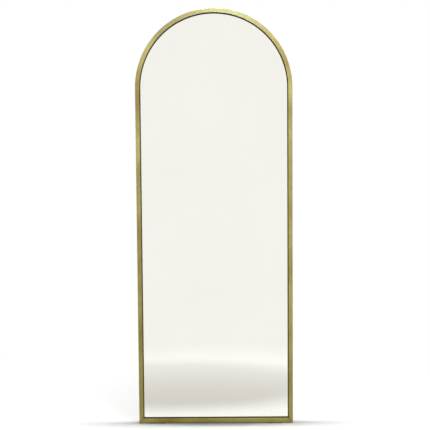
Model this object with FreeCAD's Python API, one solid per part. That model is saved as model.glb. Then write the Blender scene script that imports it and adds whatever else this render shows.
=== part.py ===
import FreeCAD, Part

import math
import os

# Full-length arched leaning floor mirror.
# A slim extruded frame, bent in one piece up one side, over the half-round head and down the other,
# is closed by a mitred bottom rail. Silvered glass, foam and a backing board drop in from behind and
# are held by screwed retainer plates. Two ring hangers, four wall bumpers and two foot pads finish it.
# Millimetres. X runs to the right, Y from the front to the back and Z up. The origin is on the floor,
# under the middle of the mirror.

V = FreeCAD.Vector

# ---------------------------------------------------------------- overall size
FRAME_WIDTH = 600.0
FRAME_HEIGHT = 1600.0
FOOT_HEIGHT = 2.5

# ---------------------------------------------------------------- extruded section
FACE_WIDTH = 16.0  # the face seen from the room
REVEAL_DEPTH = 11.0  # from the face back to the web that the glass bears on
WALL = 1.5
RIB_WIDTH = 9.0  # the deep outer side, behind the face
SLOT_WIDTH = 3.2  # screw slot that runs round the back of the rib
SLOT_DEPTH = 8.0
OUTER_ARRIS = 1.5  # radius of the face's outer edge
INNER_BEVEL = 0.8  # on the face's edge beside the glass
MITRE_GAP = 0.2
MITRE_GROOVE_DEPTH = 0.5  # shallow V along each mitre, where its sharp edges are eased

# ---------------------------------------------------------------- what lies in the frame
TAPE_THICKNESS = 1.2
TAPE_SETBACK = 1.0  # from the inner edge of the face
GLASS_THICKNESS = 4.0
GLASS_CLEARANCE = 1.5  # to the rib, all round
FILM_THICKNESS = 0.3
FOAM_THICKNESS = 2.5
FOAM_MARGIN = 0.5  # the foam stops short of the glass edge
BOARD_THICKNESS = 9.0
BOARD_CLEARANCE = 0.75  # to the rib, all round
BOARD_CHAMFER = 1.0
BLOCK_LENGTH = 50.0
BLOCK_SPREAD = 300.0  # between the centres of the two setting blocks
SPACER_LENGTH = 40.0
SPACER_FROM_ENDS = 220.0  # up from the bottom edge, and down from the spring line

# ---------------------------------------------------------------- corner keys and braces
KEY_LEG = 52.0
KEY_CLEARANCE = 0.1
KEY_LEAD_IN = 1.5
KEY_NOTCH_PLACES = (26.0, 34.0, 42.0)  # crimping notches, from the outer corner
KEY_NOTCH_WIDTH = 2.0
KEY_NOTCH_DEPTH = 0.8
BRACE_LEG = 56.0
BRACE_THICKNESS = 1.5
BRACE_HOLE_PLACE = 38.0  # along each leg, from the outer corner
BRACE_CUT = 1.5  # clipped corners
PLATE_MARGIN = 0.5  # hardware on the rib stops this far from its edges

# ---------------------------------------------------------------- retainer plates
CLIP_LENGTH = 26.0
CLIP_THICKNESS = 1.2
CLIP_TONGUE_REACH = 13.5  # from the rib over the board
CLIP_TONGUE_WIDTH = 12.0
CLIP_TONGUE_CUT = 3.0  # clipped corners
CLIP_FIRST_HEIGHT = 160.0  # lowest plate on a stile, above the bottom edge
CLIP_BELOW_SPRING = 70.0  # highest plate on a stile, below the spring line
CLIPS_PER_STILE = 3
CLIPS_ON_ARCH = 3
CLIPS_ON_RAIL = 2

# ---------------------------------------------------------------- screws
SLOT_SCREW_HEAD_RADIUS = 2.9
SLOT_SCREW_HEAD_HEIGHT = 1.9
SLOT_SCREW_CLEARANCE = 0.1  # from the core of the screw to the sides of the slot
SLOT_SCREW_TIP_CLEARANCE = 1.0  # to the floor of the slot
BOARD_SCREW_HEAD_RADIUS = 3.4
BOARD_SCREW_HEAD_HEIGHT = 2.1
BOARD_SCREW_RADIUS = 1.75
BOARD_SCREW_TIP_CLEARANCE = 2.5  # left of the board in front of the tip
PILOT_CLEARANCE = 0.05
PLATE_HOLE_CLEARANCE = 0.3  # on the radius, in sheet metal
SCREW_SIDES = 6  # the thread is left out and the core is a plain hexagon

# ---------------------------------------------------------------- ring hangers
HANGER_INSET = 70.0  # from the side of the frame to the strap's centre line
HANGER_BELOW_SPRING = 60.0  # ring axis below the spring line
STRAP_WIDTH = 14.0
STRAP_THICKNESS = 1.5
STRAP_HOLE_SPACING = 19.0
STRAP_END = 7.0  # from the lower hole to the end
STRAP_CUT = 4.0  # clipped corners
EYE_WRAP = 285.0  # degrees that the strap is rolled round the ring's bar
EYE_CLEARANCE = 0.08
RING_BAND = 3.0
RING_THICKNESS = 2.0
RING_SIDE_CLEARANCE = 5.0  # from the strap's edge to the inside of the ring, along its bar
RING_DROP = 24.0  # from the bar's centre to the sharp tip that the ring's sides run to
RING_CORNER_RADIUS = 4.0
RING_TO_SCREW = 2.0  # from that tip, which the ring's corner rounds off, to the upper screw head

# ---------------------------------------------------------------- bumpers and foot pads
BUMPER_SIZE = 20.0  # square, at its foot
BUMPER_TAPER = 1.8  # how far each side leans in
BUMPER_HEIGHT = 8.0
BUMPER_FROM_EDGE = 10.0  # from the board's edge to the bumper's side
BUMPER_ARCH_ANGLE = 20.0  # each side of the crown, in degrees
BUMPER_LOW_HEIGHT = 95.0  # above the bottom edge
PAD_LENGTH = 60.0
PAD_MARGIN = 2.0  # from the front and the back of the frame
PAD_FROM_SIDE = 40.0  # from the side of the frame to the pad's end

# ---------------------------------------------------------------- worked out from the above
HALF_WIDTH = FRAME_WIDTH / 2
BASE = FOOT_HEIGHT  # underside of the bottom rail
STRAIGHT = FRAME_HEIGHT - HALF_WIDTH  # length of a stile below the half-round head
SPRING = BASE + STRAIGHT
TAPE_AT = REVEAL_DEPTH
GLASS_AT = TAPE_AT + TAPE_THICKNESS
FILM_AT = GLASS_AT + GLASS_THICKNESS
FOAM_AT = FILM_AT + FILM_THICKNESS
BOARD_AT = FOAM_AT + FOAM_THICKNESS
FRAME_DEPTH = BOARD_AT + BOARD_THICKNESS  # the board lies flush with the back of the rib
GLASS_INSET = RIB_WIDTH + GLASS_CLEARANCE
BOARD_INSET = RIB_WIDTH + BOARD_CLEARANCE
SLOT_CENTRE = RIB_WIDTH / 2
SLOT_FLOOR = FRAME_DEPTH - SLOT_DEPTH
SLOT_SCREW_RADIUS = SLOT_WIDTH / 2 - SLOT_SCREW_CLEARANCE
SLOT_SCREW_BITE = SLOT_DEPTH - SLOT_SCREW_TIP_CLEARANCE
BOARD_SCREW_BITE = BOARD_THICKNESS - BOARD_SCREW_TIP_CLEARANCE
FRONT = -(FRAME_DEPTH + BUMPER_HEIGHT) / 2  # puts the origin under the middle of the whole depth
BACK = FRONT + FRAME_DEPTH
HANGER_Z = SPRING - HANGER_BELOW_SPRING
EYE_RADIUS = math.hypot(RING_BAND, RING_THICKNESS) / 2 + EYE_CLEARANCE
EYE_OFF_BOARD = STRAP_THICKNESS + EYE_RADIUS
RING_HALF_WIDTH = STRAP_WIDTH / 2 + RING_SIDE_CLEARANCE + RING_BAND
STRAP_FIRST_HOLE = RING_DROP + RING_TO_SCREW + BOARD_SCREW_HEAD_RADIUS
STRAP_HOLE_PLACES = (STRAP_FIRST_HOLE, STRAP_FIRST_HOLE + STRAP_HOLE_SPACING)  # below the ring axis
STRAP_LENGTH = STRAP_FIRST_HOLE + STRAP_HOLE_SPACING + STRAP_END
BUMPER_INSET = BOARD_INSET + BUMPER_FROM_EDGE + BUMPER_SIZE / 2
OVERRUN = 5.0  # cutting tools run this far past what they cut
SAME_PLACE = 1e-6


# ---------------------------------------------------------------- drawing helpers
def outline(points, radii):
    """Closed wire through points, each corner rounded by its own radius (0 leaves it sharp)."""
    edges = []
    starts = []
    ends = []
    count = len(points)
    for i in range(count):
        corner = points[i]
        to_last = (points[i - 1] - corner).normalize()
        to_next = (points[(i + 1) % count] - corner).normalize()
        half_angle = to_last.getAngle(to_next) / 2
        back_off = radii[i] / math.tan(half_angle)
        starts.append(corner + to_last * back_off)
        ends.append(corner + to_next * back_off)
        if radii[i] > 0:
            middle = (to_last + to_next).normalize()
            centre = corner + middle * (radii[i] / math.sin(half_angle))
            edges.append(Part.Arc(starts[i], centre - middle * radii[i], ends[i]).toShape())
    for i in range(count):
        after = starts[(i + 1) % count]
        if ends[i].distanceToPoint(after) > SAME_PLACE:
            edges.append(Part.LineSegment(ends[i], after).toShape())
    return Part.Wire(Part.__sortEdges__(edges))


def polygon(pairs, depth_at):
    """Flat face at one depth; pairs are (across, along) in the local X and Z."""
    corners = [V(across, depth_at, along) for across, along in pairs]
    return Part.Face(Part.makePolygon(corners + corners[:1]))


def cylinder(radius, low, high, across=0.0, along=0.0):
    """Cylinder along the depth, from low to high."""
    return Part.makeCylinder(radius, high - low, V(across, low, along), V(0, 1, 0))


def shifted(solid, across=0.0, depth=0.0, along=0.0):
    """A copy of a solid, moved in its own axes."""
    copy = solid.copy()
    copy.translate(V(across, depth, along))
    return copy


def placed(solid, placement):
    """A copy of a solid drawn in local axes, moved to its seat."""
    copy = solid.copy()
    copy.Placement = placement.multiply(copy.Placement)
    return copy


def right_hand(solid, side):
    """The solid itself on the left (side -1), or its mirror image on the right (side 1)."""
    return solid if side < 0 else solid.mirror(V(0, 0, 0), V(1, 0, 0))


def save(name, solids):
    """Writes one node, prints its volume and stops on an unsound solid."""
    solids = solids if isinstance(solids, list) else [solids]
    parts = [part for shape in solids for part in shape.Solids]
    for part in parts:
        if not part.isValid() or part.Volume <= 0:
            raise ValueError(name + " has an unsound solid")
    shape = parts[0] if len(parts) == 1 else Part.makeCompound(parts)
    shape.exportStep("parts/" + name + ".step")
    print(f"{name}: {len(parts)} solid(s), {shape.Volume / 1000:.1f} cm3")


# ---------------------------------------------------------------- places round the frame
# Local axes at each place: X points inward from the outer side of the frame, Y to the back from its
# face and Z along the frame.
def on_stile(side, height):
    """side is -1 on the left and 1 on the right; height is above the bottom edge."""
    turn = FreeCAD.Rotation(V(0, 1, 0), 0 if side < 0 else 180)
    return FreeCAD.Placement(V(side * HALF_WIDTH, FRONT, BASE + height), turn)


def on_arch(angle):
    """angle is in degrees, from the left end of the arch over its crown to the right end."""
    across = -HALF_WIDTH * math.cos(math.radians(angle))
    up = HALF_WIDTH * math.sin(math.radians(angle))
    return FreeCAD.Placement(V(across, FRONT, SPRING + up), FreeCAD.Rotation(V(0, 1, 0), angle))


def on_rail(across):
    """across is measured from the middle of the mirror."""
    return FreeCAD.Placement(V(across, FRONT, BASE), FreeCAD.Rotation(V(0, 1, 0), -90))


def corner_places(side, distance):
    """Two places at the same distance from a bottom corner, up the stile and along the rail."""
    return [on_stile(side, distance), on_rail(side * (HALF_WIDTH - distance))]


def clip_places():
    """Where the retainer plates sit: evenly up each stile, over the arch and on the rail."""
    step = (STRAIGHT - CLIP_FIRST_HEIGHT - CLIP_BELOW_SPRING) / (CLIPS_PER_STILE - 1)
    heights = [CLIP_FIRST_HEIGHT + i * step for i in range(CLIPS_PER_STILE)]
    places = [on_stile(side, height) for side in (-1, 1) for height in heights]
    places += [on_arch(180 * (i + 1) / (CLIPS_ON_ARCH + 1)) for i in range(CLIPS_ON_ARCH)]
    rail_step = FRAME_WIDTH / (CLIPS_ON_RAIL + 1)
    places += [on_rail((i + 1) * rail_step - HALF_WIDTH) for i in range(CLIPS_ON_RAIL)]
    return places


def bumper_places():
    """Two bumpers beside the crown and two above the bottom corners."""
    crown = [on_arch(90 - BUMPER_ARCH_ANGLE), on_arch(90 + BUMPER_ARCH_ANGLE)]
    return crown + [on_stile(side, BUMPER_LOW_HEIGHT) for side in (-1, 1)]


def hanger_place(side):
    """The ring's axis, brought down square onto the back of the board, in the mirror's own axes."""
    return FreeCAD.Placement(V(side * (HALF_WIDTH - HANGER_INSET), BACK, HANGER_Z), FreeCAD.Rotation())


def at_strap_holes(solid):
    """Copies of a solid drawn on the ring's axis, moved down to each hole of both straps."""
    lowered = [shifted(solid, along=-hole) for hole in STRAP_HOLE_PLACES]
    return [placed(copy, hanger_place(side)) for side in (-1, 1) for copy in lowered]


# ---------------------------------------------------------------- extruded frame
def frame_section():
    """The extrusion's section: a tube behind the face, a hollow rib beside the glass, a screw slot."""
    slot_left = SLOT_CENTRE - SLOT_WIDTH / 2
    slot_right = SLOT_CENTRE + SLOT_WIDTH / 2
    corners = [
        (0, 0, OUTER_ARRIS),
        (FACE_WIDTH - INNER_BEVEL, 0, 0),
        (FACE_WIDTH, INNER_BEVEL, 0),
        (FACE_WIDTH, REVEAL_DEPTH, 0),
        (RIB_WIDTH, REVEAL_DEPTH, 0),
        (RIB_WIDTH, FRAME_DEPTH, 0),
        (slot_right, FRAME_DEPTH, 0),
        (slot_right, SLOT_FLOOR, 0),
        (slot_left, SLOT_FLOOR, 0),
        (slot_left, FRAME_DEPTH, 0),
        (0, FRAME_DEPTH, 0),
    ]
    section = Part.Face(outline([V(u, v, 0) for u, v, _ in corners], [r for _, _, r in corners]))
    tube = Part.makePlane(FACE_WIDTH - 2 * WALL, REVEAL_DEPTH - 2 * WALL, V(WALL, WALL, 0))
    rib_depth = SLOT_FLOOR - WALL - REVEAL_DEPTH
    rib_hollow = Part.makePlane(RIB_WIDTH - 2 * WALL, rib_depth, V(WALL, REVEAL_DEPTH, 0))
    return section.cut([tube, rib_hollow]).Faces[0]


def mitre_block(inset):
    """Block that takes in the bottom rail, its slanted ends moved square to themselves by inset."""
    shift = inset * math.sqrt(2)
    low = HALF_WIDTH - shift + OVERRUN
    high = HALF_WIDTH - shift - FACE_WIDTH - OVERRUN
    rise = FACE_WIDTH + OVERRUN
    block = polygon([(-low, -OVERRUN), (low, -OVERRUN), (high, rise), (-high, rise)], FRONT - OVERRUN)
    return shifted(block.extrude(V(0, FRAME_DEPTH + 2 * OVERRUN, 0)), along=BASE)


def mitre_grooves():
    """Square bars set cornerwise into the face along each mitre, to cut the V grooves."""
    side = MITRE_GROOVE_DEPTH * math.sqrt(2)
    reach = 2 * FACE_WIDTH
    bars = []
    for hand in (-1, 1):
        bar = Part.makeBox(2 * reach, side, side, V(-reach, -side / 2, -side / 2))
        bar.rotate(V(0, 0, 0), V(1, 0, 0), 45)
        bar.rotate(V(0, 0, 0), V(0, 1, 0), 45 * hand)
        bars.append(shifted(bar, hand * HALF_WIDTH, FRONT, BASE))
    return bars


def frame_hoop():
    """Two stiles and the half-round head, bent from one length of the extrusion."""
    section = shifted(frame_section(), -HALF_WIDTH, FRONT, BASE)
    left = section.extrude(V(0, 0, STRAIGHT))
    right = right_hand(left, 1)
    arch = shifted(section, along=STRAIGHT).revolve(V(0, 0, SPRING), V(0, 1, 0), 180)
    hoop = left.fuse([arch, right]).removeSplitter()
    return hoop.cut([mitre_block(-MITRE_GAP / 2)] + mitre_grooves())


def bottom_rail():
    """The same extrusion, mitred at both ends."""
    rail = placed(frame_section(), on_rail(-HALF_WIDTH)).extrude(V(FRAME_WIDTH, 0, 0))
    return rail.common(mitre_block(MITRE_GAP / 2)).cut(mitre_grooves())


# ---------------------------------------------------------------- corner keys and braces
def corner_plate(near, width, leg, cut, depth_at, thickness):
    """Flat L at the bottom left corner, near from the frame's outer sides, its ends' corners cut off."""
    far = near + width
    pairs = [(near + cut, near), (leg - cut, near), (leg, near + cut), (leg, far - cut), (leg - cut, far),
             (far, far), (far, leg - cut), (far - cut, leg), (near + cut, leg), (near, leg - cut),
             (near, near + cut)]
    plate = polygon(pairs, depth_at).extrude(V(0, thickness, 0))
    return shifted(plate, -HALF_WIDTH, FRONT, BASE)


def corner_key(side):
    """Cast L that fills the front tube round the corner, notched where the tube is crimped to it."""
    near = WALL + KEY_CLEARANCE
    width = FACE_WIDTH - 2 * near
    depth = REVEAL_DEPTH - 2 * near
    key = corner_plate(near, width, KEY_LEG, KEY_LEAD_IN, near, depth)
    notch = Part.makeBox(
        FACE_WIDTH, KEY_NOTCH_DEPTH + OVERRUN, KEY_NOTCH_WIDTH, V(0, near + depth - KEY_NOTCH_DEPTH, 0)
    )
    notch = shifted(notch, along=-KEY_NOTCH_WIDTH / 2)
    seats = [place for distance in KEY_NOTCH_PLACES for place in corner_places(-1, distance)]
    return right_hand(key.cut([placed(notch, seat) for seat in seats]), side)


def corner_brace(side):
    """Flat steel L across the mitre on the back of the rib, with one hole in each leg."""
    width = RIB_WIDTH - 2 * PLATE_MARGIN
    brace = corner_plate(PLATE_MARGIN, width, BRACE_LEG, BRACE_CUT, FRAME_DEPTH, BRACE_THICKNESS)
    seats = corner_places(-1, BRACE_HOLE_PLACE)
    return right_hand(brace.cut([placed(slot_screw_hole(BRACE_THICKNESS), seat) for seat in seats]), side)


# ---------------------------------------------------------------- screws
def screw(head_seat, head_radius, head_height, core_radius, bite_from, bite):
    """Cheese-head screw on the depth axis: a round head and, down to its tip, a plain core."""
    head = cylinder(head_radius, head_seat, head_seat + head_height)
    turns = [2 * math.pi * i / SCREW_SIDES for i in range(SCREW_SIDES)]
    tip = bite_from - bite
    core = polygon([(core_radius * math.cos(a), core_radius * math.sin(a)) for a in turns], tip)
    return head.fuse(core.extrude(V(0, head_seat - tip, 0)))


def slot_screw(plate_thickness):
    """Screw that holds a plate of that thickness in the frame's screw slot."""
    solid = screw(
        FRAME_DEPTH + plate_thickness, SLOT_SCREW_HEAD_RADIUS, SLOT_SCREW_HEAD_HEIGHT,
        SLOT_SCREW_RADIUS, FRAME_DEPTH, SLOT_SCREW_BITE,
    )
    return shifted(solid, SLOT_CENTRE)


def slot_screw_hole(plate_thickness):
    """Clearance hole for a slot screw through a plate on the rib."""
    radius = SLOT_SCREW_RADIUS + PLATE_HOLE_CLEARANCE
    return cylinder(radius, FRAME_DEPTH, FRAME_DEPTH + plate_thickness, SLOT_CENTRE)


def brace_screws():
    """One screw in each leg of both braces."""
    seats = corner_places(-1, BRACE_HOLE_PLACE) + corner_places(1, BRACE_HOLE_PLACE)
    return [placed(slot_screw(BRACE_THICKNESS), seat) for seat in seats]


# ---------------------------------------------------------------- glass, tape, film, foam and board
def arched_plate(inset, depth_at, thickness):
    """Flat pane of the frame's outline moved in by inset; its front lies depth_at behind the face."""
    half = HALF_WIDTH - inset
    low = BASE + inset
    left_spring = V(-half, 0, SPRING)
    right_spring = V(half, 0, SPRING)
    wire = Part.Wire([
        Part.LineSegment(V(-half, 0, low), left_spring).toShape(),
        Part.Arc(left_spring, V(0, 0, SPRING + half), right_spring).toShape(),
        Part.LineSegment(right_spring, V(half, 0, low)).toShape(),
        Part.LineSegment(V(half, 0, low), V(-half, 0, low)).toShape(),
    ])
    return shifted(Part.Face(wire).extrude(V(0, thickness, 0)), depth=FRONT + depth_at)


def glazing_tape():
    """Closed band of black foam tape between the web and the front of the glass."""
    outer = arched_plate(GLASS_INSET, TAPE_AT, TAPE_THICKNESS)
    opening = arched_plate(FACE_WIDTH - TAPE_SETBACK, TAPE_AT, TAPE_THICKNESS)
    return outer.cut(opening)


def gap_block(length):
    """Rubber block that fills the gap between the rib and the glass edge."""
    return Part.makeBox(GLASS_CLEARANCE, GLASS_THICKNESS, length, V(RIB_WIDTH, GLASS_AT, -length / 2))


def setting_blocks():
    """The two blocks that the glass stands on."""
    return [placed(gap_block(BLOCK_LENGTH), on_rail(hand * BLOCK_SPREAD / 2)) for hand in (-1, 1)]


def edge_spacers():
    """Blocks that keep the glass central between the stiles."""
    heights = (SPACER_FROM_ENDS, STRAIGHT - SPACER_FROM_ENDS)
    return [placed(gap_block(SPACER_LENGTH), on_stile(side, h)) for side in (-1, 1) for h in heights]


def backing_board():
    """Fibreboard with eased back edges and pilot holes for the hangers."""
    board = arched_plate(BOARD_INSET, BOARD_AT, BOARD_THICKNESS)
    rear_edges = [e for e in board.Edges if all(abs(v.Y - BACK) < SAME_PLACE for v in e.Vertexes)]
    board = board.makeChamfer(BOARD_CHAMFER, rear_edges)
    pilot = cylinder(
        BOARD_SCREW_RADIUS + PILOT_CLEARANCE, -BOARD_SCREW_BITE - PILOT_CLEARANCE, OVERRUN
    )
    return board.cut(at_strap_holes(pilot))


# ---------------------------------------------------------------- retainer plates
def retainer_plate():
    """T-shaped plate: its foot is screwed to the rib and its tongue bears on the board."""
    half = CLIP_LENGTH / 2
    tongue = CLIP_TONGUE_WIDTH / 2
    foot = RIB_WIDTH - PLATE_MARGIN
    tip = RIB_WIDTH + CLIP_TONGUE_REACH
    cut = CLIP_TONGUE_CUT
    pairs = [(PLATE_MARGIN, -half), (foot, -half), (foot, -tongue), (tip - cut, -tongue),
             (tip, cut - tongue), (tip, tongue - cut), (tip - cut, tongue), (foot, tongue),
             (foot, half), (PLATE_MARGIN, half)]
    plate = polygon(pairs, FRAME_DEPTH).extrude(V(0, CLIP_THICKNESS, 0))
    return plate.cut(slot_screw_hole(CLIP_THICKNESS))


def retainer_plates():
    """All the retainer plates, in their places."""
    return [placed(retainer_plate(), place) for place in clip_places()]


def retainer_screws():
    """One screw in each retainer plate."""
    return [placed(slot_screw(CLIP_THICKNESS), place) for place in clip_places()]


# ---------------------------------------------------------------- ring hangers
def hanger_strap(side):
    """Steel strap, flat on the board, rolled round the ring's straight bar at its upper end."""
    half = STRAP_WIDTH / 2
    end = -STRAP_LENGTH
    pairs = [(-half, 0), (half, 0), (half, end + STRAP_CUT), (half - STRAP_CUT, end),
             (STRAP_CUT - half, end), (-half, end + STRAP_CUT)]
    plate = polygon(pairs, 0).extrude(V(0, STRAP_THICKNESS, 0))
    hole_radius = BOARD_SCREW_RADIUS + PLATE_HOLE_CLEARANCE
    holes = [cylinder(hole_radius, 0, STRAP_THICKNESS, along=-hole) for hole in STRAP_HOLE_PLACES]
    root = Part.makePlane(STRAP_WIDTH, STRAP_THICKNESS, V(-half, 0, 0), V(0, 0, 1))
    eye = root.revolve(V(0, EYE_OFF_BOARD, 0), V(1, 0, 0), -EYE_WRAP)
    return placed(plate.cut(holes).fuse(eye).removeSplitter(), hanger_place(side))


def hanger_ring(side):
    """Stamped triangular ring; its bar turns in the strap's eye and its round tip hangs below."""
    bar = RING_BAND / 2
    corners = [V(-RING_HALF_WIDTH, 0, bar), V(RING_HALF_WIDTH, 0, bar), V(0, 0, -RING_DROP)]
    outer = outline(corners, [RING_CORNER_RADIUS] * len(corners))
    inner = outer.makeOffset2D(-RING_BAND)
    ring = Part.Face(outer).cut(Part.Face(inner)).extrude(V(0, RING_THICKNESS, 0))
    return placed(shifted(ring, depth=EYE_OFF_BOARD - RING_THICKNESS / 2), hanger_place(side))


def hanger_screws():
    """Two screws through each strap into the board."""
    solid = screw(
        STRAP_THICKNESS, BOARD_SCREW_HEAD_RADIUS, BOARD_SCREW_HEAD_HEIGHT,
        BOARD_SCREW_RADIUS, 0, BOARD_SCREW_BITE,
    )
    return at_strap_holes(solid)


# ---------------------------------------------------------------- bumpers and foot pads
def square(size, depth_at):
    """Square wire round the depth axis."""
    half = size / 2
    return polygon([(-half, -half), (half, -half), (half, half), (-half, half)], depth_at).OuterWire


def wall_bumpers():
    """Tapered square rubber stops, stuck to the back of the board."""
    foot = square(BUMPER_SIZE, FRAME_DEPTH)
    top = square(BUMPER_SIZE - 2 * BUMPER_TAPER, FRAME_DEPTH + BUMPER_HEIGHT)
    bumper = shifted(Part.makeLoft([foot, top], True, True), BUMPER_INSET)
    return [placed(bumper, place) for place in bumper_places()]


def foot_pad(side):
    """Rubber pad cut from strip and stuck under the bottom rail."""
    width = FRAME_DEPTH - 2 * PAD_MARGIN
    start = V(PAD_FROM_SIDE - HALF_WIDTH, FRONT + PAD_MARGIN, 0)
    return right_hand(Part.makeBox(PAD_LENGTH, width, FOOT_HEIGHT, start), side)


# ---------------------------------------------------------------- build
def build():
    """Makes every node and writes it to parts/."""
    os.makedirs("parts", exist_ok=True)
    save("frame_hoop", frame_hoop())
    save("bottom_rail", bottom_rail())
    save("brace_screws", brace_screws())
    save("glazing_tape", glazing_tape())
    save("mirror_glass", arched_plate(GLASS_INSET, GLASS_AT, GLASS_THICKNESS))
    save("safety_film", arched_plate(GLASS_INSET, FILM_AT, FILM_THICKNESS))
    save("setting_blocks", setting_blocks())
    save("edge_spacers", edge_spacers())
    save("foam_sheet", arched_plate(GLASS_INSET + FOAM_MARGIN, FOAM_AT, FOAM_THICKNESS))
    save("backing_board", backing_board())
    save("retainer_plates", retainer_plates())
    save("retainer_screws", retainer_screws())
    save("hanger_screws", hanger_screws())
    save("wall_bumpers", wall_bumpers())
    for side, hand in ((-1, "left"), (1, "right")):
        save("corner_key_" + hand, corner_key(side))
        save("corner_brace_" + hand, corner_brace(side))
        save("hanger_strap_" + hand, hanger_strap(side))
        save("hanger_ring_" + hand, hanger_ring(side))
        save("foot_pad_" + hand, foot_pad(side))


build()
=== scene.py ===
# %% [markdown]
# # A tall floor mirror with a half-round head
# The mirror leans on a wall or hangs from two rings. A slim gold frame is bent over the head in one piece
# and mitred to a bottom rail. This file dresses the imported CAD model: every piece that shows gets a
# denser shape with eased edges, and every piece gets a finish made from shader nodes.

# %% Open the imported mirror
import math

import bpy
import numpy as np
from mathutils import Matrix


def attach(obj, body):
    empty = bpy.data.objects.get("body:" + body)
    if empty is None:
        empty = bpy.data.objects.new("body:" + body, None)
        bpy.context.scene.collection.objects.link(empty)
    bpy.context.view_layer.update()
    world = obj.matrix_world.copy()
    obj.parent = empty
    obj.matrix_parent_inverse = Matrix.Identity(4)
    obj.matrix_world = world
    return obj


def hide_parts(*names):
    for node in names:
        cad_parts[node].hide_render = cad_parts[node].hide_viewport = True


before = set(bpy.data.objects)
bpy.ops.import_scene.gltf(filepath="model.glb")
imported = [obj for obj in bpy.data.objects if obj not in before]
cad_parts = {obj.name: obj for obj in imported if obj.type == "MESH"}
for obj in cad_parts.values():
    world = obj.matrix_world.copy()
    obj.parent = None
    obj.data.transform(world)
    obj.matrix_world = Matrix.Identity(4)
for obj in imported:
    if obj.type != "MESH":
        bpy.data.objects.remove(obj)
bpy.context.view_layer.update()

# %% [markdown]
# ## Sizes
# The mirror is drawn in metres, in the frame of the CAD model: X runs across, Y from the face to the
# back and Z up. The sizes below are the ones that the CAD source names, so that each new piece lies
# exactly where its solid does.

# %% Sizes of the frame and of what it holds
MM = 0.001
HALF_WIDTH = 300 * MM
STRAIGHT = 1300 * MM  # a stile, from the bottom edge to where the head starts
BASE = 2.5 * MM  # underside of the bottom rail
SPRING = BASE + STRAIGHT
FACE_WIDTH = 16 * MM
FRAME_DEPTH = 28 * MM
FRONT = -18 * MM
BACK = FRONT + FRAME_DEPTH
REVEAL = 11 * MM  # from the face to the web that the glass lies against
RIB = 9 * MM
SLOT_LEFT, SLOT_RIGHT, SLOT_FLOOR = 2.9 * MM, 6.1 * MM, 20 * MM
SLOT_CENTRE = RIB / 2
MITRE_GAP = 0.1 * MM * math.sqrt(2)
MITRE_GROOVE = 0.5 * MM
GLASS_AT, GLASS_THICKNESS, GLASS_INSET = 12.2 * MM, 4 * MM, 10.5 * MM
BOARD_AT, BOARD_INSET = 19 * MM, 9.75 * MM
print(f"frame {2 * HALF_WIDTH:.3f} m wide and {STRAIGHT + HALF_WIDTH:.3f} m high")

# %% [markdown]
# ## Skins
# Nearly every piece here is one of two things: a section carried along a path (the frame, a ring, a
# strap) or an outline stacked through a thickness (glass, board, stamped plates). Both are a grid of
# points, ring after ring. One helper joins the grid with four-sided faces and closes its ends. It also
# notes how far round and how far along each corner lies, which becomes the UV map that the brushing
# follows, and keeps a value called edge that is 1 on rounded corners, for wear and, on the gold, for
# painted shade at the arrises.

# %% Round the corners of an outline
def rounded(corners, radii, steps=6):
    """Each corner of a closed outline becomes an arc: its centre lies on the corner's bisector, and the
    arc turns evenly from one side's tangent point to the other's. A further point on each side, 0.3 of
    the radius on, keeps the shading of the straight side flat. Also gives edge, the sine of the way
    round the arc, which is 0 where the arc meets a straight side."""
    corners = np.asarray(corners, float)
    radii = np.broadcast_to(radii, len(corners)).astype(float)[:, None]
    to_last = np.roll(corners, 1, 0) - corners
    to_next = np.roll(corners, -1, 0) - corners
    to_last /= np.linalg.norm(to_last, axis=1, keepdims=True)
    to_next /= np.linalg.norm(to_next, axis=1, keepdims=True)
    half = np.arccos(np.clip((to_last * to_next).sum(1, keepdims=True), -1, 1)) / 2
    middle = to_last + to_next
    middle /= np.linalg.norm(middle, axis=1, keepdims=True)
    centre = corners + middle * radii / np.sin(half)
    start = corners + to_last * radii / np.tan(half) - centre
    end = corners + to_next * radii / np.tan(half) - centre
    turn = (math.pi - 2 * half)[:, None]
    share = np.linspace(0, 1, steps)[None, :, None]
    arcs = np.sin((1 - share) * turn) * start[:, None] + np.sin(share * turn) * end[:, None]
    arcs = centre[:, None] + arcs / np.sin(turn)
    before = arcs[:, :1] + (to_last * radii * 0.3)[:, None]
    after = arcs[:, -1:] + (to_next * radii * 0.3)[:, None]
    points = np.concatenate([before, arcs, after], 1)
    edge = np.broadcast_to(np.r_[0, np.sin(math.pi * share.ravel()), 0], points.shape[:2])
    return points.reshape(-1, 2), edge.reshape(-1)


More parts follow.
